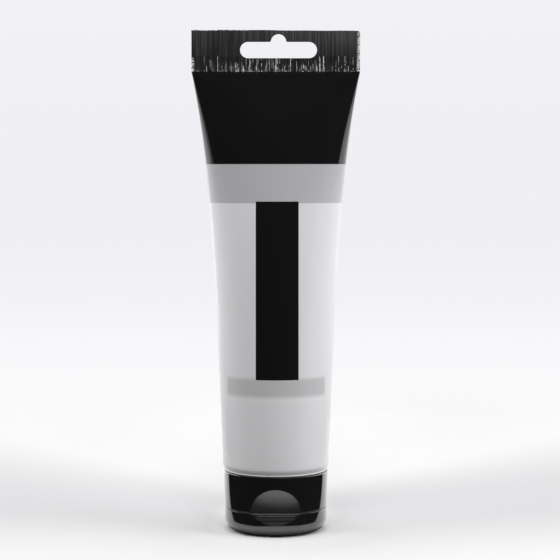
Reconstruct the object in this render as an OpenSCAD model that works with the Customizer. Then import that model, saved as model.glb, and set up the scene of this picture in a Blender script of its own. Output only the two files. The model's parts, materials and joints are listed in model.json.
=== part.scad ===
// Squeeze tube for artists' paint, standing on its flip-top cap. Millimetres, +Z up, front towards -Y.
// The sleeve keeps one girth all the way from its round end to its flat welded tail.

/* [Sleeve] */
// Outside diameter of the round end
tube_d = 35; // [33:0.5:40]
// Wall thickness of the film
film_t = 0.45; // [0.35:0.05:0.6]
// Length from the rolled lower edge to the tail weld
sleeve_len = 130.5; // [110:0.5:150]
// Radius of the rolled lower edge
edge_r = 1.4; // [1:0.1:1.8]
// How late the sleeve flares out towards the tail
flare_power = 4; // [3:0.5:6]
// Share of the length that the paint fills
fill_share = 0.93; // [0.5:0.01:0.97]

/* [Tail] */
// Height of the welded tail
tail_h = 13.7; // [13.2:0.1:18]
// Radius of the top corners
tail_corner = 0.8; // [0.4:0.1:1.5]
// Length of the hang slot
slot_len = 25.1; // [18:0.1:32]
// Height of the hang slot
slot_h = 5.3; // [4.6:0.1:5.8]
// Diameter of the round notch above the slot
notch_d = 5.3; // [4.2:0.1:6.2]
// Fillet between notch and slot
notch_fillet = 0.6; // [0.3:0.1:1]
// Height of the slot above the lower edge of the weld
slot_rise = 4.4; // [3:0.1:4.9]
// Sideways shift of the slot from the middle
slot_shift = 0.9; // [-2:0.1:2]

/* [Head] */
// Height of the weld between sleeve and shoulder
weld_h = 6; // [4:0.5:9]
// Wall thickness of the shoulder
shoulder_t = 1.2; // [1:0.1:1.4]
// Fall of the shoulder cone
shoulder_drop = 2.4; // [1.6:0.1:3]
// Outside diameter of the neck
neck_d = 14.8; // [13.4:0.2:16.4]
// Inside diameter of the neck
neck_bore = 10.4; // [8:0.2:11.6]
// Height of the snap bead on the neck
bead_h = 0.35; // [0.2:0.05:0.45]
// Thickness of the peel seal
foil_t = 0.12; // [0.08:0.01:0.15]

/* [Cap] */
// Step from the sleeve in to the cap
cap_inset = 0.35; // [0.2:0.05:0.6]
// Narrowing of the cap radius from its top to its foot
cap_draft = 0.3; // [0.1:0.05:0.5]
// Height of the hinged lid
lid_h = 7.9; // [7.4:0.1:9]
// Height of the cap base
base_h = 11.9; // [11.5:0.1:14]
// Wall thickness of cap and lid
cap_wall = 1.25; // [1:0.05:1.4]
// Thickness of the deck
deck_t = 1.4; // [1.2:0.1:1.6]
// Rounding at the foot of the lid
foot_r = 4.5; // [3:0.1:5]
// Rounding of the outer edges
rim_r = 0.3; // [0.2:0.05:0.4]
// Diameter of the outlet
outlet_d = 4.4; // [3.6:0.1:5]
// Length of the outlet spout under the deck
spout_h = 2.2; // [1.6:0.1:3]
// Height of the ring that centres the lid
ring_h = 1.2; // [0.8:0.1:1.4]
// Number of stiffening ribs around the socket
ribs = 6; // [4:1:8]

/* [Thumb recess] */
// Width of the recess at the parting line
recess_w = 17; // [14:0.5:17.5]
// Height of the recess above the parting line
scoop_h = 7.9; // [6:0.1:8.4]
// Height below the parting line at which the scoop is deepest
scoop_dip = 2.1; // [1:0.1:3]
// Height of the slanted face in the lid
slant_h = 3.7; // [3:0.1:4]
// Radius of the thumb lip
lip_r = 0.55; // [0.4:0.05:0.65]

/* [Hinge] */
// Width of the flat that carries the hinge
hinge_w = 13; // [11:0.5:13.5]
// Height of the flat above and below the parting line
hinge_h = 3.6; // [3.2:0.1:3.8]
// Thickness of the hinge film
strap_t = 0.45; // [0.35:0.05:0.5]
// Width of each of the two outer straps
strap_w = 3; // [2.4:0.1:3.4]
// Width of the middle spring band
band_w = 2.6; // [2:0.1:3]

/* [Fits] */
// Gap between lid and base at the parting line
part_gap = 0.15; // [0.1:0.05:0.25]
// Gap between cap and sleeve
seam_gap = 0.15; // [0.1:0.05:0.3]
// Clearance of pieces that move past each other
slide_gap = 0.3; // [0.25:0.05:0.35]
// Clearance of the plug in the outlet
plug_gap = 0.2; // [0.18:0.01:0.25]
// Clearance between bonded pieces
bond_gap = 0.05; // [0.04:0.01:0.08]

/* [Hidden] */
$fn = 96;
around = 72;
far = 100;
tiny = 0.01;

film_white = [0.93, 0.93, 0.93];
print_black = [0.1, 0.1, 0.1];
cap_black = [0.06, 0.06, 0.06];
foil_grey = [0.75, 0.76, 0.78];
paint_white = [0.95, 0.94, 0.92];

tube_r = tube_d / 2;
flat_half = PI * tube_d / 4;
girth_power = ln(2) / ln(PI / 2);
base_z = lid_h + part_gap;
cap_top = base_z + base_h;
sleeve_z = cap_top + seam_gap;
edge_z = sleeve_z + edge_r;
loft_z = sleeve_z + weld_h;
tail_z = sleeve_z + sleeve_len;
loft_len = tail_z - loft_z;

cone_r = tube_r - edge_r - bond_gap;
weld_r = tube_r - film_t - bond_gap;
cone_tilt = atan(shoulder_drop / (cone_r - neck_d / 2));
cone_rise = shoulder_t / cos(cone_tilt);
deck_z = base_z + deck_t;
mouth_z = deck_z + 2 * foil_t + 2 * bond_gap;

cap_r = tube_r - cap_inset;
foot_wall_r = cap_radius(0);
part_r = cap_radius(base_z);
socket_r = neck_d / 2 + bead_h + slide_gap;
socket_top = sleeve_z - shoulder_drop - slide_gap;
lid_hollow_r = foot_wall_r - cap_wall;
plug_r = outlet_d / 2 - plug_gap;

recess_y = chord(part_r, recess_w);
scoop_top = base_z + scoop_h;
scoop_z = base_z - scoop_dip;
scoop_top_y = cap_radius(scoop_top);
scoop_y = (pow(scoop_top_y, 2) - pow(recess_y, 2) + pow(scoop_top - scoop_z, 2) - pow(scoop_dip, 2))
    / (2 * (scoop_top_y - recess_y));
scoop_r = norm([scoop_y - recess_y, scoop_dip]);
slant_end_y = cap_radius(lid_h - slant_h);
slant_tilt = atan((slant_end_y - recess_y) / slant_h);
slant_wall = cap_wall / cos(slant_tilt);

hinge_y = chord(part_r, hinge_w);
hinge_z = lid_h + part_gap / 2;
strap_h = 2 * (hinge_h - 1.6);

// Radius of the tapered cap at a height
function cap_radius(z) = cap_r - cap_draft * (1 - z / cap_top);

// Distance from the axis to a chord of a given width
function chord(radius, width) = sqrt(pow(radius, 2) - pow(width / 2, 2));

// Underside of the shoulder cone at a radius
function cone_z(radius) = sleeve_z - (cone_r - radius) * tan(cone_tilt);

// Half width and half depth of the sleeve at a share of its length, for one girth throughout
function half_width(share) = tube_r + (flat_half - tube_r) * (share + pow(share, flare_power)) / 2;
function half_depth(share) =
    pow(max(0, pow(flat_half, girth_power) - pow(half_width(share), girth_power)), 1 / girth_power);

// Sections of the sleeve get squarer only where they close to the weld
function squareness(share) = 2 + 6 * pow(share, 80);

// Shares of the length, closer together near the tail
function stations(count, last) = [for (i = [0 : count]) last * (1 - pow(1 - i / count, 1.8))];

// A section is height, half width, half depth and squareness
function skin(share, inward) = [
    loft_z + loft_len * share,
    half_width(share) - inward,
    max(half_depth(share), film_t + (inward > 0 ? tiny : 0)) - inward,
    squareness(share)
];
function round_section(z, radius) = [z, radius, radius, 2];
function rolled(angle, inward) = round_section(
    edge_z - (edge_r - inward) * cos(angle), tube_r - edge_r + (edge_r - inward) * sin(angle)
);
function oval(value, squared) = sign(value) * pow(abs(value), 2 / squared);
function section_points(section, count) = [
    for (i = [0 : count - 1]) [
        section[1] * oval(cos(360 * i / count), section[3]),
        section[2] * oval(sin(360 * i / count), section[3]),
        section[0]
    ]
];

// Solid skinned over a row of sections
module loft(sections, count) {
    rows = len(sections);
    points = [for (section = sections) each section_points(section, count)];
    sides = [
        for (row = [0 : rows - 2], i = [0 : count - 1])
            let (next = (i + 1) % count)
            [row * count + i, (row + 1) * count + i, (row + 1) * count + next, row * count + next]
    ];
    first = [for (i = [0 : count - 1]) i];
    last = [for (i = [1 : count]) rows * count - i];
    polyhedron(points, concat([first, last], sides));
}

// Thin round-walled film: inner skin downwards, rolled edge, outer skin upwards
module tube_sleeve() {
    inner = stations(24, 0.995);
    outer = stations(26, 1);
    color(film_white)
        loft(
            concat(
                [for (i = [24 : -1 : 0]) skin(inner[i], film_t)],
                [for (angle = [90, 60, 30, 0]) rolled(angle, film_t)],
                [for (angle = [0, 22.5, 45, 67.5, 90]) rolled(angle, 0)],
                [for (share = outer) skin(share, 0)]
            ),
            around
        );
}

// Round notch with filleted feet, standing on the upper edge of the slot
module notch_plan() {
    notch_r = notch_d / 2;
    fillet_y = notch_fillet - 2 * tiny;
    fillet_x = sqrt(pow(notch_r + fillet_y, 2) - pow(fillet_y, 2));
    circle(notch_r);
    difference() {
        translate([-fillet_x, -notch_fillet])
            square([2 * fillet_x, notch_fillet + fillet_y]);
        for (side = [-1, 1])
            translate([side * fillet_x, fillet_y])
                circle(notch_fillet);
    }
}

// Both walls of the film welded flat, with a hang slot
module tail_seal() {
    slot_r = slot_h / 2;
    slot_z = slot_rise + slot_r;
    color(print_black)
        translate([0, film_t, tail_z])
            rotate([90, 0, 0])
                linear_extrude(2 * film_t)
                    difference() {
                        union() {
                            translate([-flat_half, 0])
                                square([2 * flat_half, tail_h - tail_corner]);
                            translate([tail_corner - flat_half, 0])
                                square([2 * (flat_half - tail_corner), tail_h]);
                            for (side = [-1, 1])
                                translate([side * (flat_half - tail_corner), tail_h - tail_corner])
                                    circle(tail_corner);
                        }
                        for (side = [-1, 1])
                            translate([slot_shift + side * (slot_len / 2 - slot_r), slot_z])
                                circle(slot_r);
                        translate([slot_shift - slot_len / 2 + slot_r, slot_rise])
                            square([slot_len - slot_h, slot_h]);
                        translate([slot_shift, slot_rise + slot_h])
                            notch_plan();
                    }
}

// Moulded head: ring welded into the sleeve, cone, neck with a snap bead
module tube_shoulder() {
    neck_r = neck_d / 2;
    bore_r = neck_bore / 2;
    ring_r = weld_r - shoulder_t;
    corner_r = edge_r - film_t - bond_gap;
    color(film_white)
        rotate_extrude() {
            polygon([
                [bore_r, mouth_z],
                [neck_r, mouth_z],
                [neck_r, cone_z(neck_r)],
                [cone_r, sleeve_z],
                [cone_r, edge_z],
                [weld_r, edge_z],
                [weld_r, loft_z],
                [ring_r, loft_z],
                [ring_r, cone_z(ring_r) + cone_rise],
                [bore_r, cone_z(bore_r) + cone_rise]
            ]);
            translate([tube_r - edge_r, edge_z])
                intersection() {
                    circle(corner_r);
                    translate([-bond_gap, -corner_r])
                        square(2 * corner_r);
                }
            translate([neck_r, (mouth_z + socket_top) / 2])
                circle(bead_h);
        }
}

// Peel disc over the mouth, with its pull tab folded under it
module foil_seal() {
    disc_r = neck_d / 2 - slide_gap;
    color(foil_grey)
        translate([0, 0, mouth_z - bond_gap - foil_t]) {
            cylinder(h = foil_t, r = disc_r);
            translate([0, 0, -foil_t])
                intersection() {
                    cylinder(h = foil_t + tiny, r = disc_r);
                    translate([-disc_r, -2 * disc_r, 0])
                        cube([2 * disc_r, 1.6 * disc_r, foil_t + tiny]);
                }
        }
}

// Paint inside head and sleeve
module paint_fill() {
    bore_r = neck_bore / 2 - bond_gap;
    ring_r = weld_r - shoulder_t - bond_gap;
    cone_gap = cone_rise + bond_gap / cos(cone_tilt);
    clear = film_t + bond_gap;
    first_share = bond_gap / loft_len;
    body = stations(20, 1);
    color(paint_white)
        loft(
            concat(
                [
                    round_section(mouth_z, bore_r),
                    round_section(cone_z(bore_r) + cone_gap, bore_r),
                    round_section(cone_z(ring_r) + cone_gap, ring_r),
                    round_section(loft_z + bond_gap, ring_r)
                ],
                [for (step = body) skin(first_share + (fill_share - first_share) * step, clear)]
            ),
            48
        );
}

// Everything in front of the slanted face of the lid, moved inwards by a wall
module slant_block(inward) {
    translate([-far, -recess_y + inward, lid_h])
        rotate([-slant_tilt, 0, 0])
            translate([0, -far, -far / 2])
                cube([2 * far, far, far]);
}

// Round bar across the thumb recess
module cross_bar(y, z, radius) {
    translate([-far, -y, z])
        rotate([0, 90, 0])
            cylinder(h = 2 * far, r = radius);
}

// Everything behind a plane, between two heights
module rear_block(y, low, high) {
    translate([-far, y, low])
        cube([2 * far, far, high - low]);
}

// Plan of the lid hollow at the parting line, made smaller by a gap
module hollow_plan(gap) {
    front_y = slant_wall - recess_y + gap;
    intersection() {
        circle(lid_hollow_r - gap);
        translate([-far, front_y])
            square([2 * far, hinge_y - cap_wall - gap - front_y]);
    }
}

// Upper half of the flip-top moulding: skirt, deck, spout, socket, ribs, scoop
module cap_base() {
    socket_wall = 1.1;
    inner_r = part_r - cap_wall;
    low_z = base_z + rim_r;
    high_z = cap_top - rim_r;
    color(cap_black)
        difference() {
            union() {
                rotate_extrude() {
                    polygon([
                        [0, base_z],
                        [cap_radius(low_z) - rim_r, base_z],
                        [cap_radius(low_z), low_z],
                        [cap_radius(high_z), high_z],
                        [cap_radius(high_z) - rim_r, cap_top],
                        [0, cap_top]
                    ]);
                    for (z = [low_z, high_z])
                        translate([cap_radius(z) - rim_r, z])
                            circle(rim_r);
                }
                translate([0, 0, base_z - ring_h])
                    linear_extrude(ring_h + deck_t / 2)
                        difference() {
                            hollow_plan(slide_gap);
                            hollow_plan(slide_gap + 1);
                        }
                translate([0, 0, base_z - spout_h])
                    cylinder(h = spout_h + deck_t / 2, r = outlet_d / 2 + cap_wall);
            }
            difference() {
                translate([0, 0, deck_z])
                    cylinder(h = far, r = inner_r);
                cross_bar(scoop_y, scoop_z, scoop_r + cap_wall);
                rear_block(hinge_y - cap_wall, 0, base_z + hinge_h + cap_wall);
                difference() {
                    union() {
                        cylinder(h = socket_top, r = socket_r + socket_wall);
                        for (i = [0 : ribs - 1])
                            rotate(360 * i / ribs)
                                translate([socket_r, -0.4, 0])
                                    cube([tube_r, 0.8, socket_top - deck_t]);
                    }
                    cylinder(h = far, r = socket_r);
                }
            }
            translate([0, 0, base_z - spout_h - 1])
                cylinder(h = far, r = outlet_d / 2);
            cross_bar(scoop_y, scoop_z, scoop_r);
            rear_block(hinge_y, 0, base_z + hinge_h);
        }
}

// Two film straps on the hinge flat
module hinge_straps() {
    color(cap_black)
        for (side = [-1, 1])
            translate([side * (hinge_w - strap_w - 1.2) / 2 - strap_w / 2, hinge_y, hinge_z - strap_h / 2])
                cube([strap_w, strap_t, strap_h]);
}

// Spring band between the straps
module hinge_band() {
    color(cap_black)
        translate([-band_w / 2, hinge_y, hinge_z - strap_h / 2])
            cube([band_w, strap_t, strap_h]);
}

// Lower half of the flip-top moulding: hollow lid with plug, thumb lip and hinge flat
module flip_lid() {
    plug_top = deck_z - 0.5;
    hollow_foot_r = foot_r - cap_wall;
    rim_z = lid_h - rim_r;
    lip_z = lid_h - 1.1 * lip_r;
    lip_y = recess_y + (lid_h - lip_z) * tan(slant_tilt);
    color(cap_black) {
        difference() {
            rotate_extrude() {
                polygon([
                    [0, 0],
                    [cap_radius(foot_r) - foot_r, 0],
                    [cap_radius(foot_r), foot_r],
                    [cap_radius(rim_z), rim_z],
                    [cap_radius(rim_z) - rim_r, lid_h],
                    [0, lid_h]
                ]);
                translate([cap_radius(foot_r) - foot_r, foot_r])
                    intersection() {
                        circle(foot_r);
                        translate([-foot_r, -foot_r])
                            square([2 * foot_r, foot_r + rim_r]);
                    }
                translate([cap_radius(rim_z) - rim_r, rim_z])
                    circle(rim_r);
            }
            difference() {
                rotate_extrude() {
                    translate([0, cap_wall])
                        square([lid_hollow_r - hollow_foot_r, far]);
                    translate([0, cap_wall + hollow_foot_r])
                        square([lid_hollow_r, far]);
                    translate([lid_hollow_r - hollow_foot_r, cap_wall + hollow_foot_r])
                        circle(hollow_foot_r);
                }
                slant_block(slant_wall);
                rear_block(hinge_y - cap_wall, 0, far);
            }
            slant_block(0);
            rear_block(hinge_y, lid_h - hinge_h, far);
        }
        rotate_extrude()
            polygon([
                [0, cap_wall / 2],
                [plug_r, cap_wall / 2],
                [plug_r, plug_top - 0.4],
                [plug_r - 0.3, plug_top],
                [plug_r / 2, plug_top],
                [plug_r / 2, cap_wall + 1],
                [0, cap_wall + 1]
            ]);
        intersection() {
            cylinder(h = lid_h, r = foot_wall_r - rim_r / 2);
            cross_bar(lip_y, lip_z, lip_r);
        }
    }
}

tube_sleeve();
tail_seal();
tube_shoulder();
foil_seal();
paint_fill();
cap_base();
hinge_straps();
hinge_band();
flip_lid();
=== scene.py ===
"""Looks of a paint tube that stands on its flip-top cap: printed film sleeve, ribbed tail, polished cap."""

import json
import math

import bpy
import numpy as np
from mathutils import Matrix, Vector


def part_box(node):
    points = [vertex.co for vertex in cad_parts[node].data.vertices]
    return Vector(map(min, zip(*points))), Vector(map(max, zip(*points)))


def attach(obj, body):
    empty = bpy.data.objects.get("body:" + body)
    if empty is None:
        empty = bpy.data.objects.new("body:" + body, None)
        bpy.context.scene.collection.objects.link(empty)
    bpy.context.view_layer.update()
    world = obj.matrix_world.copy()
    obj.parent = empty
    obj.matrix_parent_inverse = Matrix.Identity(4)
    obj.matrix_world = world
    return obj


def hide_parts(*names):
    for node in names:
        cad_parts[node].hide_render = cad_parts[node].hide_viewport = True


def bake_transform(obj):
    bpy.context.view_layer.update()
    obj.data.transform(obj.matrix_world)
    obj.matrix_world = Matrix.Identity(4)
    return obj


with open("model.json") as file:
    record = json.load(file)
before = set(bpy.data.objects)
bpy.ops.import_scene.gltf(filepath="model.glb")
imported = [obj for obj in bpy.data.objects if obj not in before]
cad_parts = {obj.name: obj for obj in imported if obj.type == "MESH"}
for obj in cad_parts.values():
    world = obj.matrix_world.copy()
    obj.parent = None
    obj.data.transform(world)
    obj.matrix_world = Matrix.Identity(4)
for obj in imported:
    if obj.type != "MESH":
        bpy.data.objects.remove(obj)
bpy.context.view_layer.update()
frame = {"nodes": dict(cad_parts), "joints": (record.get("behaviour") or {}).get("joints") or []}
MM = 0.001

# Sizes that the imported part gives
sleeve_low, sleeve_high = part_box("tube_sleeve")
tail_low, tail_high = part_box("tail_seal")
_, shoulder_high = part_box("tube_shoulder")
_, base_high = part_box("cap_base")
strap_low, strap_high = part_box("hinge_straps")
band_low, band_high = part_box("hinge_band")
lid_joint = next(joint for joint in frame["joints"] if joint["name"] == "lid_flip")
hinge_point = Vector(lid_joint["pos_m"])

TUBE_R = sleeve_high.y
FLAT_HALF = tail_high.x
FILM = tail_high.y
SLEEVE_Z = sleeve_low.z
TAIL_Z = tail_low.z
TOP_Z = tail_high.z
LOFT_Z = shoulder_high.z  # the sleeve is round up to the top of its weld to the head
PARTING_Z = hinge_point.z  # lid and base of the cap part at the height of the hinge

# Sleeve: one girth from a circle to a flat line, its outline squarer just below the tail
FLARE_POWER = 4
GIRTH_POWER = math.log(2) / math.log(math.pi / 2)
ROUND = 2
SQUARE_GAIN = 6
SQUARE_POWER = 80
SLEEVE_COLUMNS = 320
ROUND_RINGS = 24
LOFT_RINGS = 190
LOFT_CROWDING = 1.5  # rings lie closer together towards the tail

# Lower edge of the sleeve: drawn in over the head, ending in a small bead
INSIDE_HEIGHTS = (4.0 * MM, 2.6 * MM, 1.2 * MM, 0.5 * MM)
EDGE_IN = 1.5 * MM
EDGE_H = 2.8 * MM
EDGE_RINGS = 18
BEAD_R = 0.2 * MM
BEAD_IN = 0.72 * MM
BEAD_H = 0.24 * MM
BEAD_ARC = (-90, 60)
BEAD_RINGS = 13
BEAD_TOP = 0.45 * MM

# Faint groove around the sleeve at the top of the weld
WELD_DEPTH = 0.02 * MM
WELD_HALF = 0.3 * MM
WELD_DOWN = 0.5 * MM

# Printed areas, as heights above the floor and distances from the middle
PANEL_Z = 120.55 * MM
BAND_Z = 108.0 * MM
STRIP_TOP_Z = 108.57 * MM
STRIP_Z = 51.32 * MM
STRIP_X = 0.47 * MM
STRIP_HALF = 6.89 * MM
NOTE_TOP_Z = 51.65 * MM
NOTE_Z = 45.85 * MM
NOTE_LEFT = -15.7 * MM
NOTE_RIGHT = 15.9 * MM
# Not print: a painted highlight line along a faint ridge in the film
RIDGE_GLINT_Z = 44.6 * MM
RIDGE_GLINT_HALF = 0.25 * MM
FRONT_Y = (-2 * MM, -1 * MM)

# Painted shade on the film just above the bead, at the front and at the back
BEAD_SHADE_Z = (SLEEVE_Z + 0.5 * MM, SLEEVE_Z + 1.85 * MM)
BEAD_SHADE_Y = (5.5 * MM, 8 * MM)

# Hang slot and outline of the tail
SLOT_X = 0.9 * MM
SLOT_HALF = 12.55 * MM
SLOT_R = 2.65 * MM
SLOT_UP = 4.4 * MM  # from the weld line to its lower edge
SLOT_Z = TAIL_Z + SLOT_UP + SLOT_R
NOTCH_R = 2.5 * MM
NOTCH_FILLET = 0.6 * MM
NOTCH_FOOT = (0.85, 1.3)  # where its fillet lies, in radii of the notch
CORNER_LEFT = 0.3 * MM
CORNER_RIGHT = 0.9 * MM
TOP_FALL = 0.4 * MM
WAVER = 0.06 * MM
WAVER_LENGTHS = (2.9 * MM, 7.3 * MM)
RAGGED_X = -19 * MM
RAGGED_DEPTH = 0.14 * MM
RAGGED_PITCH = 0.85 * MM
FRAY_DEPTH = 0.14 * MM
FRAY_LENGTHS = (0.19 * MM, 0.47 * MM, 0.11 * MM)
FRAY_PHASE = 1
FRAY_WEIGHT = 0.4
FRAY_REACH = 0.02 * MM  # points so close to an end of the weld lie on its outline

# Ribs that the welding jaws leave in the tail
CRIMP_TOP = TAIL_Z + 4.6 * MM
CRIMP_FADE = 0.5 * MM
FINE_DEPTH = 0.02 * MM
FINE_PITCH = 0.47 * MM
COARSE_DEPTH = 0.09 * MM
COARSE_PITCH = 1.1 * MM
COARSE_PHASE = 0.7

# Mesh of the tail
TAIL_COLUMNS = 640
TAIL_ROWS = 22
TURN_STEPS = 14
FILLET_STEPS = 30
DIGITS = 7  # points that agree to so many decimals are one point

# Film hinge of the cap: two straps and a spring band between them
STRAP_W = 3 * MM
STRAP_THIN = 0.5
SPRING_THIN = 0.35
THIN_HALF = 0.45 * MM
HINGE_ROWS = 41
HINGE_COLUMNS = 20
HINGE_ROUNDING = 0.35

# Cap wall: radius at the floor, and how much wider it is at its top
CAP_FOOT_R = 16.85 * MM
CAP_FLARE = 0.3 * MM
RECESS_Y = -12.5 * MM

# Camera of the photograph
CAMERA_AT = Vector((1.38 * MM, -598.7 * MM, 120.75 * MM))
CAMERA_PITCH = math.radians(3.648)
CAMERA_LENS = 117.42
CAMERA_SENSOR = 36
CAMERA_NEAR = 0.01


# Meshes


def mesh_object(name, verts, faces, smooth=True):
    mesh = bpy.data.meshes.new(name)
    mesh.from_pydata([tuple(v) for v in verts], [], [tuple(f) for f in faces])
    mesh.update()
    mesh.validate()
    obj = bpy.data.objects.new(name, mesh)
    bpy.context.scene.collection.objects.link(obj)
    for polygon in mesh.polygons:
        polygon.use_smooth = smooth
    return obj


def grid_faces(rows, columns, closed):
    """Quads over a grid of points, row by row, the columns joined into a ring if closed."""
    faces = []
    for row in range(rows - 1):
        low, high = row * columns, (row + 1) * columns
        for column in range(columns if closed else columns - 1):
            nxt = (column + 1) % columns
            faces.append((low + column, low + nxt, high + nxt, high + column))
    return faces


def half_width(share):
    return TUBE_R + (FLAT_HALF - TUBE_R) * (share + share**FLARE_POWER) / 2


def half_depth(share):
    left = FLAT_HALF**GIRTH_POWER - half_width(share) ** GIRTH_POWER
    return max(left, 0.0) ** (1 / GIRTH_POWER)


def oval_ring(z, a, b, squareness):
    angle = np.linspace(0, 2 * math.pi, SLEEVE_COLUMNS, endpoint=False)
    c, s = np.cos(angle), np.sin(angle)
    x = a * np.sign(c) * np.abs(c) ** (2 / squareness)
    y = b * np.sign(s) * np.abs(s) ** (2 / squareness)
    return np.stack([x, y, np.full(SLEEVE_COLUMNS, z)], axis=1)


def edge_inset(height):
    """How far the sleeve is drawn in at a height above its lower edge."""
    left = max(0.0, 1 - height / EDGE_H)
    return EDGE_IN * (1 - math.sqrt(1 - left**2))


def build_sleeve():
    """Film from inside its lower edge, around the bead, and up to the tail."""
    rings = []

    def round_ring(inset, height):
        r = TUBE_R - inset
        rings.append(oval_ring(SLEEVE_Z + height, r, r, ROUND))

    for height in INSIDE_HEIGHTS:
        round_ring(FILM + edge_inset(height), height)
    for angle in np.radians(np.linspace(*BEAD_ARC, BEAD_RINGS)):
        round_ring(BEAD_IN - BEAD_R * math.cos(angle), BEAD_H + BEAD_R * math.sin(angle))
    for height in np.linspace(BEAD_TOP, EDGE_H, EDGE_RINGS):
        round_ring(edge_inset(height), height)
    for height in np.linspace(EDGE_H, LOFT_Z - SLEEVE_Z, ROUND_RINGS)[1:-1]:
        weld = (SLEEVE_Z + height - LOFT_Z + WELD_DOWN) / WELD_HALF
        round_ring(WELD_DEPTH * math.exp(-(weld**2)), height)
    for share in 1 - (1 - np.linspace(0, 1, LOFT_RINGS)) ** LOFT_CROWDING:
        z = LOFT_Z + (TAIL_Z - LOFT_Z) * share
        squareness = ROUND + SQUARE_GAIN * share**SQUARE_POWER
        rings.append(oval_ring(z, half_width(share), max(half_depth(share), FILM), squareness))
    return mesh_object("sleeve_film", np.concatenate(rings), grid_faces(len(rings), SLEEVE_COLUMNS, True))


def notch_rise(across):
    """Height of the notch over the slot's upper edge, with a fillet at its foot."""
    foot = math.sqrt((NOTCH_R + NOTCH_FILLET) ** 2 - NOTCH_FILLET**2)
    if across >= foot:
        return 0.0
    if across > NOTCH_R * foot / (NOTCH_R + NOTCH_FILLET):
        return NOTCH_FILLET - math.sqrt(NOTCH_FILLET**2 - (foot - across) ** 2)
    return math.sqrt(NOTCH_R**2 - across**2)


def slot_span(x):
    """Lower and upper edge of the hang slot at x; both at its middle line outside the slot."""
    across = abs(x - SLOT_X)
    if across >= SLOT_HALF:
        return SLOT_Z, SLOT_Z
    past = across - (SLOT_HALF - SLOT_R)
    half = SLOT_R if past <= 0 else math.sqrt(max(SLOT_R**2 - past**2, 0))
    return SLOT_Z - half, SLOT_Z + half + notch_rise(across)


def tail_columns():
    """Positions across the tail: even, with more of them where an edge turns."""
    xs = set(np.round(np.linspace(-FLAT_HALF, FLAT_HALF, TAIL_COLUMNS), DIGITS))
    for turn in np.linspace(0, math.pi / 2, TURN_STEPS):
        for side in (-1, 1):
            xs.add(round(SLOT_X + side * (SLOT_HALF - SLOT_R * (1 - math.cos(turn))), DIGITS))
            xs.add(round(SLOT_X + side * NOTCH_R * math.sin(turn), DIGITS))
        xs.add(round(-FLAT_HALF + CORNER_LEFT * (1 - math.cos(turn)), DIGITS))
        xs.add(round(FLAT_HALF - CORNER_RIGHT * (1 - math.cos(turn)), DIGITS))
    for across in np.linspace(*NOTCH_FOOT, FILLET_STEPS):
        for side in (-1, 1):
            xs.add(round(SLOT_X + side * NOTCH_R * across, DIGITS))
    return sorted(xs)


def tail_top(x):
    """Cut edge: falls a little to the right, wavers, and is ragged at the left."""
    side = FLAT_HALF - abs(x)
    corner = CORNER_LEFT if x < 0 else CORNER_RIGHT
    short, long = WAVER_LENGTHS
    drop = TOP_FALL * (x + FLAT_HALF) / (2 * FLAT_HALF)
    drop += WAVER * (1 + math.sin(x / short) * math.cos(x / long))
    if x < RAGGED_X:
        drop += RAGGED_DEPTH * (0.5 + 0.5 * math.sin(2 * math.pi * x / RAGGED_PITCH))
    if side < corner:
        drop += corner - math.sqrt(max(corner**2 - (corner - side) ** 2, 0))
    return TOP_Z - drop


def rib_depth(x, z):
    """Grooves pressed by the welding jaws, deeper in the crimped band above the weld line."""
    fine = 0.5 - 0.5 * math.cos(2 * math.pi * x / FINE_PITCH)
    coarse = 0.5 - 0.5 * math.cos(2 * math.pi * x / COARSE_PITCH + COARSE_PHASE)
    crimp = min(1.0, max(0.0, (CRIMP_TOP - z) / CRIMP_FADE))
    return FINE_DEPTH * fine * (1 - crimp) + COARSE_DEPTH * coarse * crimp


def ragged_side(x, z):
    """Frayed film at the two ends of the weld: the outline steps in by a hair, unevenly."""
    if abs(x) < FLAT_HALF - FRAY_REACH:
        return x
    first, second, third = FRAY_LENGTHS
    wave = math.sin(z / first) * math.sin(z / second + FRAY_PHASE) + FRAY_WEIGHT * math.sin(z / third)
    return x - math.copysign(FRAY_DEPTH * max(0.0, wave), x)


def build_tail():
    """Welded plate with its slot: one grid below the slot, one above, joined outside it."""
    xs = tail_columns()
    flat = []
    faces = []
    for lower in (True, False):
        start = len(flat)
        for row in range(TAIL_ROWS):
            share = row / (TAIL_ROWS - 1)
            for x in xs:
                bottom, top = slot_span(x)
                low, high = (TAIL_Z, bottom) if lower else (top, tail_top(x))
                flat.append((x, low + (high - low) * share))
        faces += [tuple(i + start for i in f) for f in grid_faces(TAIL_ROWS, len(xs), False)]
    # Points that the two grids share become one, and faces that this flattens go
    index = {}
    points = []
    renamed = []
    for x, z in flat:
        key = (round(x, DIGITS), round(z, DIGITS))
        if key not in index:
            index[key] = len(points)
            points.append((ragged_side(x, z), z))
        renamed.append(index[key])
    corners = [tuple(dict.fromkeys(renamed[i] for i in f)) for f in faces]
    front = [f for f in corners if len(f) > 2]
    # The same points at the back, and walls along every edge that only one face has
    n = len(points)
    back = [tuple(i + n for i in reversed(f)) for f in front]
    edges = dict.fromkeys((a, b) for f in front for a, b in zip(f, f[1:] + f[:1]))
    walls = [(b, a, a + n, b + n) for a, b in edges if (b, a) not in edges]
    verts = [(x, -(FILM - rib_depth(x, z)), z) for x, z in points]
    verts += [(x, FILM - rib_depth(x, z), z) for x, z in points]
    return mesh_object("tail_film", verts, front + back + walls)


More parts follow.
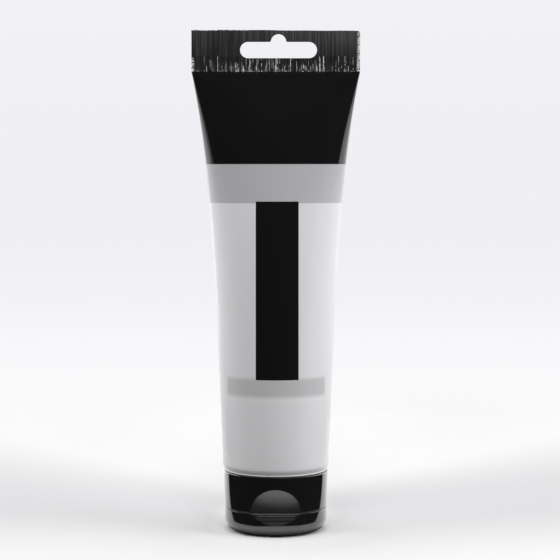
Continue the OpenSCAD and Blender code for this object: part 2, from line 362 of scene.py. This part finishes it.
def build_hinge_film(name, low, high, thin):
    """Film strip over the hinge line, thinned where it bends, with rounded long edges."""
    middle = (low + high) / 2
    half_x = (high.x - low.x) / 2
    half_y = (high.y - low.y) / 2
    verts = []
    for row in range(HINGE_ROWS):
        z = low.z + (high.z - low.z) * row / (HINGE_ROWS - 1)
        near = math.exp(-(((z - PARTING_Z) / THIN_HALF) ** 2))
        depth = half_y * (1 - thin * near)
        for i in range(HINGE_COLUMNS):
            angle = 2 * math.pi * (i + 0.5) / HINGE_COLUMNS
            c, s = math.cos(angle), math.sin(angle)
            x = half_x * math.copysign(abs(c) ** HINGE_ROUNDING, c)
            y = depth * math.copysign(abs(s) ** HINGE_ROUNDING, s)
            verts.append((middle.x + x, middle.y + y, z))
    faces = grid_faces(HINGE_ROWS, HINGE_COLUMNS, True)
    faces.append(tuple(reversed(range(HINGE_COLUMNS))))
    faces.append(tuple((HINGE_ROWS - 1) * HINGE_COLUMNS + i for i in range(HINGE_COLUMNS)))
    return mesh_object(name, verts, faces)


# Materials

NOISE_SPAN = (0.3, 0.7)  # nearly all values of a noise lie in it
EVEN = (1, 1, 1)


class Nodes:
    """Short names for the shader nodes that the materials use."""

    def __init__(self, name):
        self.material = bpy.data.materials.new(name)
        self.material.use_nodes = True
        self.tree = self.material.node_tree
        self.shader = self.tree.nodes["Principled BSDF"]
        self.place = self.tree.nodes.new("ShaderNodeTexCoord").outputs["Object"]
        split = self.tree.nodes.new("ShaderNodeSeparateXYZ")
        self.tree.links.new(self.place, split.inputs[0])
        self.x, self.y, self.z = split.outputs

    def put(self, socket, value):
        if isinstance(value, bpy.types.NodeSocket):
            self.tree.links.new(value, socket)
        else:
            socket.default_value = value

    def math(self, operation, a, b=0.0):
        node = self.tree.nodes.new("ShaderNodeMath")
        node.operation = operation
        self.put(node.inputs[0], a)
        self.put(node.inputs[1], b)
        return node.outputs[0]

    def ramp(self, value, low, high, to_low=0.0, to_high=1.0, smooth=True):
        """From to_low at low to to_high at high, and level outside them."""
        node = self.tree.nodes.new("ShaderNodeMapRange")
        node.interpolation_type = "SMOOTHSTEP" if smooth else "LINEAR"
        for socket, number in (("Value", value), ("From Min", low), ("From Max", high)):
            self.put(node.inputs[socket], number)
        node.inputs["To Min"].default_value = to_low
        node.inputs["To Max"].default_value = to_high
        return node.outputs["Result"]

    def fall(self, value, low, high):
        """1 up to low, 0 from high on."""
        return self.ramp(value, low, high, 1, 0)

    def both(self, a, b):
        return self.math("MULTIPLY", a, b)

    def either(self, a, b):
        return self.math("MAXIMUM", a, b)

    def between(self, value, low, high, soft):
        """1 from low to high, with edges that are twice soft wide."""
        rise = self.ramp(value, low - soft, low + soft)
        return self.both(rise, self.fall(value, high - soft, high + soft))

    def around(self):
        """Distance from the upright axis."""
        return self.math("SQRT", self.math("ADD", self.both(self.x, self.x), self.both(self.y, self.y)))

    def colour(self, factor, a, b):
        node = self.tree.nodes.new("ShaderNodeMix")
        node.data_type = "RGBA"
        self.put(node.inputs[0], factor)
        self.put(node.inputs[6], (*a, 1) if isinstance(a, tuple) else a)
        self.put(node.inputs[7], (*b, 1) if isinstance(b, tuple) else b)
        return node.outputs[2]

    def noise(self, stretch, scale, detail=3.0):
        mapping = self.tree.nodes.new("ShaderNodeMapping")
        mapping.inputs["Scale"].default_value = stretch
        self.tree.links.new(self.place, mapping.inputs["Vector"])
        node = self.tree.nodes.new("ShaderNodeTexNoise")
        node.inputs["Scale"].default_value = scale
        node.inputs["Detail"].default_value = detail
        self.tree.links.new(mapping.outputs[0], node.inputs["Vector"])
        return node.outputs["Fac"]

    def rough(self, noise, low, high):
        """Roughness that varies with a noise from low to high."""
        return self.ramp(noise, *NOISE_SPAN, low, high)

    def level_normal(self, factor):
        """Surface normal, turned to point straight out from the upright axis where factor is 1."""
        out = self.tree.nodes.new("ShaderNodeCombineXYZ")
        self.put(out.inputs[0], self.x)
        self.put(out.inputs[1], self.y)
        turn = self.tree.nodes.new("ShaderNodeVectorTransform")
        turn.vector_type = "NORMAL"
        turn.convert_from, turn.convert_to = "OBJECT", "WORLD"
        self.put(turn.inputs[0], out.outputs[0])
        mix = self.tree.nodes.new("ShaderNodeMix")
        mix.data_type = "VECTOR"
        self.put(mix.inputs[0], factor)
        self.put(mix.inputs[4], self.tree.nodes.new("ShaderNodeNewGeometry").outputs["Normal"])
        self.put(mix.inputs[5], turn.outputs[0])
        return mix.outputs[1]

    def bump(self, height, strength, distance, normal=None):
        node = self.tree.nodes.new("ShaderNodeBump")
        node.inputs["Strength"].default_value = strength
        node.inputs["Distance"].default_value = distance
        self.tree.links.new(height, node.inputs["Height"])
        if normal:
            self.tree.links.new(normal, node.inputs["Normal"])
        self.tree.links.new(node.outputs[0], self.shader.inputs["Normal"])

    def finish(self, **inputs):
        for name, value in inputs.items():
            self.put(self.shader.inputs[name.replace("_", " ")], value)
        return self.material


def grey(srgb):
    """Linear colour of an sRGB grey from 0 to 255."""
    v = srgb / 255
    v = v / 12.92 if v <= 0.04045 else ((v + 0.055) / 1.055) ** 2.4
    return (v, v, v)


# Film: colours, and half the width of the soft edges of the print
FILM_SHADE = (0.72, 0.713, 0.731)
FILM_WHITE = (0.75, 0.743, 0.761)
PRINT_BLACK = grey(21)
BAND_GREY_LOW = (0.47, 0.463, 0.49)
BAND_GREY_HIGH = (0.449, 0.442, 0.467)
NOTE_GREY = (0.53, 0.526, 0.54)
# painted shade just above the bead
BEAD_SHADE_GREY = (0.55, 0.55, 0.562)
# painted highlight line along a faint ridge in the film
RIDGE_GLINT_WHITE = (0.82, 0.82, 0.82)
RIDGE_GLINT_WEIGHT = 0.4
PRINT_SOFT = 0.04 * MM
NOTE_SOFT_X = 0.5 * MM
NOTE_SOFT_Z = 0.9 * MM
BEAD_SHADE_SOFT = 0.25 * MM
RIDGE_GLINT_SOFT = 0.1 * MM
PRINT_SMOOTHER = 0.21  # by so much is the roughness of the print below the film's


def film_material():
    """White satin film with its printed black and grey areas, painted shade just above its bead and a
    painted highlight line along a faint ridge.
    """
    n = Nodes("printed_film")
    front = n.fall(n.y, *FRONT_Y)
    panel = n.ramp(n.z, PANEL_Z - PRINT_SOFT, PANEL_Z + PRINT_SOFT)
    band = n.ramp(n.z, BAND_Z - PRINT_SOFT, BAND_Z + PRINT_SOFT)
    aside = n.math("ABSOLUTE", n.math("SUBTRACT", n.x, STRIP_X))
    strip = n.both(
        n.both(n.fall(aside, STRIP_HALF - PRINT_SOFT, STRIP_HALF + PRINT_SOFT), front),
        n.between(n.z, STRIP_Z, STRIP_TOP_Z, PRINT_SOFT),
    )
    note = n.both(
        n.between(n.z, NOTE_Z, NOTE_TOP_Z, NOTE_SOFT_Z),
        n.both(n.between(n.x, NOTE_LEFT, NOTE_RIGHT, NOTE_SOFT_X), front),
    )
    # painted highlight line along a faint ridge in the film
    ridge_glint = n.between(n.z, RIDGE_GLINT_Z - RIDGE_GLINT_HALF, RIDGE_GLINT_Z + RIDGE_GLINT_HALF, RIDGE_GLINT_SOFT)
    # painted shade on the film just above the bead
    bead_shade = n.both(
        n.between(n.z, *BEAD_SHADE_Z, BEAD_SHADE_SOFT),
        n.ramp(n.math("ABSOLUTE", n.y), *BEAD_SHADE_Y),
    )
    black = n.either(strip, panel)
    cloud = n.noise(stretch=(1, 1, 0.4), scale=90)
    colour = n.colour(cloud, FILM_SHADE, FILM_WHITE)
    colour = n.colour(n.both(ridge_glint, RIDGE_GLINT_WEIGHT), colour, RIDGE_GLINT_WHITE)
    colour = n.colour(bead_shade, colour, BEAD_SHADE_GREY)
    colour = n.colour(note, colour, NOTE_GREY)
    fade = n.ramp(n.z, BAND_Z, PANEL_Z, smooth=False)
    colour = n.colour(band, colour, n.colour(fade, BAND_GREY_LOW, BAND_GREY_HIGH))
    colour = n.colour(black, colour, PRINT_BLACK)
    satin = n.rough(cloud, low=0.28, high=0.34)
    gloss = n.math("SUBTRACT", satin, n.both(black, PRINT_SMOOTHER))
    n.bump(n.noise(EVEN, scale=2600, detail=2), strength=0.05, distance=0.01 * MM)
    return n.finish(Base_Color=colour, Roughness=gloss, Specular_IOR_Level=0.5)


# Tail: scuffs above the weld line, fewer of them towards the sides
SCUFF_TOP = (TAIL_Z + 1.9 * MM, CRIMP_TOP + 0.6 * MM)
SCUFF_TOP_SPAN = (0.36, 0.6)
SCUFF_END = (-0.25 * MM, 0.05 * MM)
SCUFF_X = (13 * MM, 25 * MM)
SCUFF_LEVEL = (0.6, 0.645)
SCUFF_STEP = (0.0, 0.04)
SCUFF_GAPS = (0.4, 0.5)
# Bare film: specks along the weld line, at both ends and at the left of the cut edge
LINE_Z = (TAIL_Z - 0.3 * MM, TAIL_Z + 0.32 * MM)
LINE_SOFT = 0.12 * MM
LINE_SPECKS = (0.56, 0.68)
END_X = (FLAT_HALF - 1.2 * MM, FLAT_HALF - 0.3 * MM)
END_LEFT_Z = (TAIL_Z + 3.8 * MM, TAIL_Z + 5 * MM)
END_RIGHT_Z = (TOP_Z - 2 * MM, TOP_Z)
END_SPECKS = (0.38, 0.52)
CHIP_X = (-10 * MM, -8 * MM)
CHIP_Z = (TOP_Z - 0.5 * MM, TOP_Z - 0.25 * MM)
CHIP_SPECKS = (0.48, 0.6)
# Greys of the print: plain, lighter towards the upper right as a painted highlight, and darker over the
# crimped band
GRAIN_SPAN = (0.36, 0.66)
TAIL_GREYS = (grey(35), grey(58))
PAINTED_SHEEN_GREYS = (grey(56), grey(82))
PAINTED_SHEEN_X = (-20 * MM, 15 * MM)
PAINTED_SHEEN = (0.4, 1.0)
CRIMP_DARK_GREY = grey(24)
CRIMP_DARKENING = 0.45
CRIMP_DARK_FADE = 1 * MM
BARE_WHITE = grey(240)


def tail_material():
    """Black print on the weld, scuffed white where the jaws pressed it and where it was cut, with a painted
    highlight towards the upper right.
    """
    n = Nodes("welded_tail")
    streak = n.noise(stretch=(1, 0.2, 0.005), scale=7600, detail=1)
    grain = n.noise(stretch=(1, 0.2, 0.02), scale=2600, detail=2)
    speck = n.noise(stretch=(1, 0.2, 1), scale=2300, detail=2)
    patch = n.noise(stretch=(1, 0.2, 0.001), scale=2400, detail=1)
    gap = n.noise(stretch=(1, 0.2, 0.3), scale=2600, detail=1)
    aside = n.math("ABSOLUTE", n.x)

    reach = n.ramp(patch, *SCUFF_TOP_SPAN, *SCUFF_TOP)
    under = n.fall(n.math("SUBTRACT", n.z, reach), *SCUFF_END)
    level = n.ramp(aside, *SCUFF_X, *SCUFF_LEVEL)
    scuff = n.both(n.ramp(n.math("SUBTRACT", streak, level), *SCUFF_STEP), under)
    scuff = n.both(scuff, n.ramp(gap, *SCUFF_GAPS))
    line = n.both(n.between(n.z, *LINE_Z, LINE_SOFT), n.ramp(speck, *LINE_SPECKS))
    right = n.both(n.ramp(n.x, 0, MM), n.fall(n.z, *END_RIGHT_Z))
    left = n.both(n.fall(n.x, -MM, 0), n.fall(n.z, *END_LEFT_Z))
    ends = n.both(n.ramp(aside, *END_X), n.either(left, right))
    ends = n.both(ends, n.ramp(speck, *END_SPECKS))
    chips = n.both(n.ramp(n.z, *CHIP_Z), n.fall(n.x, *CHIP_X))
    chips = n.both(chips, n.ramp(speck, *CHIP_SPECKS))
    bare = n.either(n.either(scuff, line), n.either(ends, chips))

    tone = n.ramp(grain, *GRAIN_SPAN)
    # painted highlight: lighter towards the top and towards the right
    painted_sheen = n.both(n.ramp(n.z, CRIMP_TOP, TOP_Z), n.ramp(n.x, *PAINTED_SHEEN_X, *PAINTED_SHEEN))
    # darker over the crimped band, fading out just above it
    pressed = n.ramp(n.z, CRIMP_TOP, CRIMP_TOP + CRIMP_DARK_FADE, CRIMP_DARKENING, 0)
    colour = n.colour(tone, *TAIL_GREYS)
    colour = n.colour(painted_sheen, colour, n.colour(tone, *PAINTED_SHEEN_GREYS))
    colour = n.colour(pressed, colour, CRIMP_DARK_GREY)
    colour = n.colour(bare, colour, BARE_WHITE)
    n.bump(grain, strength=0.25, distance=0.03 * MM)
    return n.finish(Base_Color=colour, Roughness=n.rough(grain, low=0.38, high=0.5), Specular_IOR_Level=0.4)


# Cap: greys of the moulding and of its recess, with heights below the parting line; in the recess they hold
# painted shade and a painted highlight
CAP_GREYS = (grey(18), grey(22))
# painted shade: the recess is paler at its top and darker down to the parting line
SCOOP_SHADE_GREYS = (grey(70), grey(41))
SCOOP_SHADE_H = 7 * MM
LIP_GREY = grey(50)
LIP_SOFT = 0.1 * MM
# painted shade in two bands below the parting line, under the lid's lip
LIP_SHADE_GREY = grey(31)
LIP_SHADE_BANDS = ((0.5 * MM, 1.4 * MM), (2.05 * MM, 2.6 * MM))
LIP_SHADE_SOFT = 0.1 * MM
# painted highlight along the lid's top edge in the recess
LID_GLINT_GREY = grey(86)
LID_GLINT_H = 0.4 * MM
LID_GLINT_SOFT = 0.08 * MM
# The recess is what lies deeper than the wall, at the front
RECESS_DEPTH = (0.04 * MM, 0.12 * MM)
RECESS_FADE = 0.2 * MM
RECESS_ROUGHER = 0.05
# Rounded edges of the parting line that mirror like the wall, except in the recess and at the hinge
PARTING_DEPTH = (0.25 * MM, 0.35 * MM)
PARTING_Y = (13 * MM, 14 * MM)
PARTING_HALF = 0.5 * MM
PARTING_SOFT = 0.05 * MM
PARTING_LEVEL = 0.93


def cap_material():
    """Polished black moulding; the thumb recess keeps a matte tool finish, and its colour holds painted
    shade and a painted highlight.
    """
    n = Nodes("cap_plastic")
    flow = n.noise(stretch=(1, 1, 0.5), scale=160)
    wall = n.ramp(n.z, 0, base_high.z, CAP_FOOT_R, CAP_FOOT_R + CAP_FLARE, smooth=False)
    depth = n.math("SUBTRACT", wall, n.around())
    recess = n.both(n.ramp(depth, *RECESS_DEPTH), n.fall(n.y, RECESS_Y, RECESS_Y + RECESS_FADE))
    below = n.math("SUBTRACT", PARTING_Z, n.z)
    # painted shade: the recess grows paler towards its top, which faces the floor
    scoop_shade = n.colour(n.ramp(below, -SCOOP_SHADE_H, 0), *SCOOP_SHADE_GREYS)
    recess_tone_and_shading = n.colour(n.ramp(below, -LIP_SOFT, 0), scoop_shade, LIP_GREY)
    # two bands of painted shade under the lid's lip
    upper, lower = (n.between(below, *shade_band, LIP_SHADE_SOFT) for shade_band in LIP_SHADE_BANDS)
    recess_tone_and_shading = n.colour(n.either(upper, lower), recess_tone_and_shading, LIP_SHADE_GREY)
    # painted highlight along the lid's top edge
    recess_tone_and_shading = n.colour(n.between(below, 0, LID_GLINT_H, LID_GLINT_SOFT), recess_tone_and_shading, LID_GLINT_GREY)
    rim = n.both(n.fall(depth, *PARTING_DEPTH), n.fall(n.y, *PARTING_Y))
    parting = n.between(n.z, PARTING_Z - PARTING_HALF, PARTING_Z + PARTING_HALF, PARTING_SOFT)
    level = n.level_normal(n.both(n.both(rim, parting), PARTING_LEVEL))
    n.bump(n.noise(EVEN, scale=900, detail=2), strength=0.02, distance=0.01 * MM, normal=level)
    return n.finish(
        Base_Color=n.colour(recess, n.colour(flow, *CAP_GREYS), recess_tone_and_shading),
        Roughness=n.math("ADD", n.rough(flow, low=0.06, high=0.1), n.both(recess, RECESS_ROUGHER)),
        Specular_IOR_Level=0.6,
        Coat_Weight=1.0,
        Coat_Roughness=0.06,
        Coat_IOR=1.68,
    )


# Pieces inside: darkest and lightest tone
HEAD_WHITES = ((0.76, 0.76, 0.76), (0.84, 0.84, 0.84))
FOIL_GREYS = ((0.7, 0.71, 0.73), (0.86, 0.87, 0.88))
PAINT_WHITES = ((0.84, 0.83, 0.81), (0.9, 0.9, 0.88))


def head_material():
    """White moulded plastic."""
    n = Nodes("head_plastic")
    cloud = n.noise(EVEN, scale=220)
    colour = n.colour(cloud, *HEAD_WHITES)
    n.bump(n.noise(EVEN, scale=2200), strength=0.08, distance=0.02 * MM)
    return n.finish(Base_Color=colour, Roughness=n.rough(cloud, low=0.35, high=0.45))


def foil_material():
    """Thin creased peel foil."""
    n = Nodes("peel_foil")
    crease = n.noise(EVEN, scale=700, detail=4)
    colour = n.colour(crease, *FOIL_GREYS)
    n.bump(crease, strength=0.3, distance=0.05 * MM)
    return n.finish(Base_Color=colour, Metallic=1.0, Roughness=n.rough(crease, low=0.2, high=0.4))


def paint_material():
    """Thick white paint."""
    n = Nodes("white_paint")
    swirl = n.noise(stretch=(1, 1, 0.5), scale=260)
    colour = n.colour(swirl, *PAINT_WHITES)
    n.bump(swirl, strength=0.2, distance=0.1 * MM)
    return n.finish(Base_Color=colour, Roughness=n.rough(swirl, low=0.25, high=0.4))


def wear(obj, material):
    """Give an object this material alone."""
    obj.data.materials.clear()
    obj.data.materials.append(material)


# The part

sleeve = build_sleeve()
wear(sleeve, film_material())
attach(sleeve, "tube")
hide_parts("tube_sleeve")

tail = build_tail()
wear(tail, tail_material())
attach(tail, "tube")
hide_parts("tail_seal")

cap = cap_material()
for node in ("cap_base", "flip_lid"):
    wear(frame["nodes"][node], cap)
wear(frame["nodes"]["tube_shoulder"], head_material())
wear(frame["nodes"]["foil_seal"], foil_material())
wear(frame["nodes"]["paint_fill"], paint_material())

left_high = Vector((strap_low.x + STRAP_W, strap_high.y, strap_high.z))
right_low = Vector((strap_high.x - STRAP_W, strap_low.y, strap_low.z))
films = (
    ("strap_left", "hinge_straps", strap_low, left_high, STRAP_THIN),
    ("strap_right", "hinge_straps", right_low, strap_high, STRAP_THIN),
    ("spring_band", "hinge_band", band_low, band_high, SPRING_THIN),
)
for name, node, low, high, thin in films:
    film = build_hinge_film(name, low, high, thin)
    wear(film, cap)
    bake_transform(film)
    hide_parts(node)


# Studio

# Floor: a disc that fades out before its rim
FLOOR_R = 0.45
FLOOR_FADE = (0.26, 0.42)
FLOOR_RINGS = 12
FLOOR_COLUMNS = 96

# Floor as the camera sees it: a grey sweep behind the part, up to a bend, and nearly white beyond it
FLOOR_WHITE = (0.99, 0.99, 0.99)
FRONT_WHITE = (0.915, 0.915, 0.918)
SWEEP_LEFT = (0.772, 0.769, 0.784)
SWEEP_RIGHT = (0.737, 0.734, 0.75)
BACK_SIDE = (0.952, 0.952, 0.955)
SWEEP_X = (-50 * MM, 50 * MM)
SWEEP_Y = (-60 * MM, 45 * MM)
BACK_X = (30 * MM, 90 * MM)
BEND_START = (0.45, 31.6 * MM)  # slope to the sides and place in the middle
BEND_END = (1.27, 67 * MM)

# Painted light on the floor close to the part, which lightens its shadow: in front of its foot, and beside
# it
NEAR_R = (17 * MM, 36 * MM)
NEAR_Y = (-12 * MM, 0)
BESIDE_X = (16 * MM, 24 * MM)
BESIDE_Y = (-14 * MM, -2 * MM)
BESIDE_END_Y = (20 * MM, 60 * MM)
BESIDE_SIDES = (-10 * MM, 10 * MM)
BESIDE = (0.85, 0.45)

# Floor as the part mirrors it: dark in front, bright behind a bow around the front of the part, with a
# painted contact shadow close to its foot
BOUNCE_DARK = (0.012, 0.012, 0.012)
BRIGHT_X = 2 * MM
BRIGHT_SLOPE = 1.09
BRIGHT_BOW = 22.8 * MM
BRIGHT_SHIFT = 48.8 * MM
BRIGHT_ASIDE = (5 * MM, 14 * MM)
BRIGHT_START = (-6.3 * MM, -2 * MM)
BRIGHT_END = 2 * MM
BOUNCE_FOOT_SHADOW = (14 * MM, 19 * MM)
BRIGHT_Y = (-12 * MM, 8 * MM)
BRIGHT = (0.96, 1.0)

# Backdrop by elevation, as sines of 12 degrees below the horizon to 6 above it
BACKDROP_Z = (-0.208, 0.1045)
BACKDROP = (
    (0.16, (0.973, 0.973, 0.98)),
    (0.25, (0.962, 0.962, 0.972)),
    (0.36, (0.935, 0.932, 0.955)),
    (0.43, (0.895, 0.888, 0.92)),
    (0.53, (0.87, 0.862, 0.9)),
    (0.75, (0.87, 0.862, 0.9)),
    (0.95, (0.89, 0.886, 0.915)),
)

# Room that the part mirrors: dark in front and above, a wall behind that reaches a little ahead of the sides
ROOM = ((0.0, (0.01, 0.01, 0.01)), (1.0, (0.95, 0.95, 0.96)))
SIDE_SLOPE = -0.07
WALL_SOFT = 0.02
WALL_TOP = (0.3, 0.16)
AMBIENT = 0.32

# Name, place, size, power and whether the part mirrors it
LAMPS = (
    ("key_right", (0.75, -0.27, 0.25), (0.5, 0.7), 4.2, False),
    ("key_left", (-0.79, -0.14, 0.25), (0.5, 0.7), 2.4, False),
    ("fill_front", (0, -0.62, 0.8), (0.5, 0.5), 3.8, False),
    ("top_back", (0, 0.55, 0.85), (0.5, 0.3), 0.4, True),
    ("wall_right", (0.61, 0.36, 0.28), (0.96, 0.6), 2.0, True),
    ("wall_left", (-0.55, 0.45, 0.255), (0.96, 0.6), 2.5, True),
)
LAMP_AIM = Vector((0, 0, 0.08))


def floor_material():
    """Pale floor with a faint grey sweep behind the part; it fades out into the backdrop.

    Light that leaves the part towards the front meets a dark room there, not this floor."""
    n = Nodes("studio_floor")
    path = n.tree.nodes.new("ShaderNodeLightPath")
    aside = n.math("ABSOLUTE", n.x)
    around = n.around()

    def bend(slope, middle):
        return n.math("ADD", n.both(aside, slope), middle)

    sweep = n.colour(n.ramp(n.x, *SWEEP_X), SWEEP_LEFT, SWEEP_RIGHT)
    back = n.colour(n.ramp(aside, *BACK_X), FLOOR_WHITE, BACK_SIDE)
    seen = n.colour(n.ramp(n.y, *SWEEP_Y), FRONT_WHITE, sweep)
    seen = n.colour(n.ramp(n.y, bend(*BEND_START), bend(*BEND_END)), seen, back)
    # painted light on the floor that lightens the part's shadow in front of its foot and beside it
    near = n.both(n.fall(around, *NEAR_R), n.fall(n.y, *NEAR_Y))
    beside = n.both(n.fall(aside, *BESIDE_X), n.ramp(n.y, *BESIDE_Y))
    beside = n.both(beside, n.ramp(n.x, *BESIDE_SIDES, *BESIDE))
    beside = n.both(beside, n.fall(n.y, *BESIDE_END_Y))
    seen = n.colour(n.either(near, beside), seen, FLOOR_WHITE)

    across = n.both(n.math("SUBTRACT", n.x, BRIGHT_X), BRIGHT_SLOPE)
    bow = n.math("SQRT", n.math("ADD", n.both(across, across), BRIGHT_BOW**2))
    ahead = n.math("ADD", n.math("SUBTRACT", n.y, bow), BRIGHT_SHIFT)
    lit = n.ramp(ahead, n.ramp(aside, *BRIGHT_ASIDE, *BRIGHT_START), BRIGHT_END)
    # painted contact shadow: the mirrored floor darkens close to the foot
    lit = n.both(lit, n.ramp(around, *BOUNCE_FOOT_SHADOW))
    lit = n.both(lit, n.ramp(n.y, *BRIGHT_Y, *BRIGHT))
    bounce = n.colour(lit, BOUNCE_DARK, FLOOR_WHITE)
    return n.finish(
        Base_Color=n.colour(path.outputs["Is Camera Ray"], bounce, seen),
        Roughness=0.6,
        Specular_IOR_Level=0.0,
        Alpha=n.fall(around, *FLOOR_FADE),
    )


def build_floor():
    verts = [(0, 0, 0)]
    for ring in range(1, FLOOR_RINGS + 1):
        for i in range(FLOOR_COLUMNS):
            angle = 2 * math.pi * i / FLOOR_COLUMNS
            r = FLOOR_R * ring / FLOOR_RINGS
            verts.append((r * math.cos(angle), r * math.sin(angle), 0))
    faces = [(0, 1 + i, 1 + (i + 1) % FLOOR_COLUMNS) for i in range(FLOOR_COLUMNS)]
    faces += [tuple(i + 1 for i in f) for f in grid_faces(FLOOR_RINGS, FLOOR_COLUMNS, True)]
    floor = mesh_object("studio_floor", verts, faces, smooth=False)
    wear(floor, floor_material())


def build_world():
    """Soft even light; the camera sees a pale backdrop, and the part mirrors a white wall behind it."""
    world = bpy.data.worlds.new("studio")
    bpy.context.scene.world = world
    world.use_nodes = True
    tree = world.node_tree
    tree.nodes.clear()
    new, link = tree.nodes.new, tree.links.new
    path = new("ShaderNodeLightPath")
    place = new("ShaderNodeTexCoord")
    split = new("ShaderNodeSeparateXYZ")
    link(place.outputs["Generated"], split.inputs[0])
    x, y, z = split.outputs

    def background(strength, colour):
        node = new("ShaderNodeBackground")
        node.inputs["Strength"].default_value = strength
        if isinstance(colour, tuple):
            node.inputs["Color"].default_value = (*colour, 1)
        else:
            link(colour, node.inputs["Color"])
        return node.outputs[0]

    def scaled(value, low, high):
        node = new("ShaderNodeMapRange")
        link(value, node.inputs["Value"])
        node.inputs["From Min"].default_value = low
        node.inputs["From Max"].default_value = high
        return node.outputs["Result"]

    def steps(value, stops):
        node = new("ShaderNodeValToRGB")
        link(value, node.inputs[0])
        elements = node.color_ramp.elements
        while len(elements) < len(stops):
            elements.new(0.5)
        for element, (place_at, colour) in zip(elements, stops):
            element.position = place_at
            element.color = (*colour, 1)
        return node.outputs[0]

    def arithmetic(operation, a, b=0.0):
        node = new("ShaderNodeMath")
        node.operation = operation
        for socket, value in zip(node.inputs, (a, b)):
            if isinstance(value, float):
                socket.default_value = value
            else:
                link(value, socket)
        return node.outputs[0]

    def choose(factor, a, b):
        node = new("ShaderNodeMixShader")
        for socket, value in zip(node.inputs, (factor, a, b)):
            link(value, socket)
        return node.outputs[0]

    ambient = background(AMBIENT, (1, 1, 1))
    seen = background(1.0, steps(scaled(z, *BACKDROP_Z), BACKDROP))
    side = arithmetic("MULTIPLY", arithmetic("ABSOLUTE", x), SIDE_SLOPE)
    behind = scaled(arithmetic("SUBTRACT", y, side), -WALL_SOFT, WALL_SOFT)
    wall = arithmetic("MULTIPLY", behind, scaled(z, *WALL_TOP))
    mirrored = background(1.0, steps(wall, ROOM))
    light = choose(path.outputs["Is Glossy Ray"], ambient, mirrored)
    light = choose(path.outputs["Is Transmission Ray"], light, seen)
    light = choose(path.outputs["Is Camera Ray"], light, seen)
    link(light, new("ShaderNodeOutputWorld").inputs[0])


def add_softbox(name, at, size, power, mirrored):
    light = bpy.data.lights.new(name, "AREA")
    light.shape = "RECTANGLE"
    light.size, light.size_y = size
    light.energy = power
    obj = bpy.data.objects.new(name, light)
    bpy.context.scene.collection.objects.link(obj)
    obj.location = at
    obj.rotation_euler = (LAMP_AIM - Vector(at)).to_track_quat("-Z", "Y").to_euler()
    obj.visible_glossy = mirrored
    obj.visible_camera = False


def build_camera():
    data = bpy.data.cameras.new("camera")
    data.sensor_width = CAMERA_SENSOR
    data.lens = CAMERA_LENS
    data.clip_start = CAMERA_NEAR
    obj = bpy.data.objects.new("camera", data)
    obj.location = CAMERA_AT
    obj.rotation_euler = (math.pi / 2 - CAMERA_PITCH, 0, 0)
    bpy.context.scene.collection.objects.link(obj)
    bpy.context.scene.camera = obj


build_floor()
build_world()
for lamp in LAMPS:
    add_softbox(*lamp)
build_camera()
bpy.context.scene.view_settings.view_transform = "Standard"
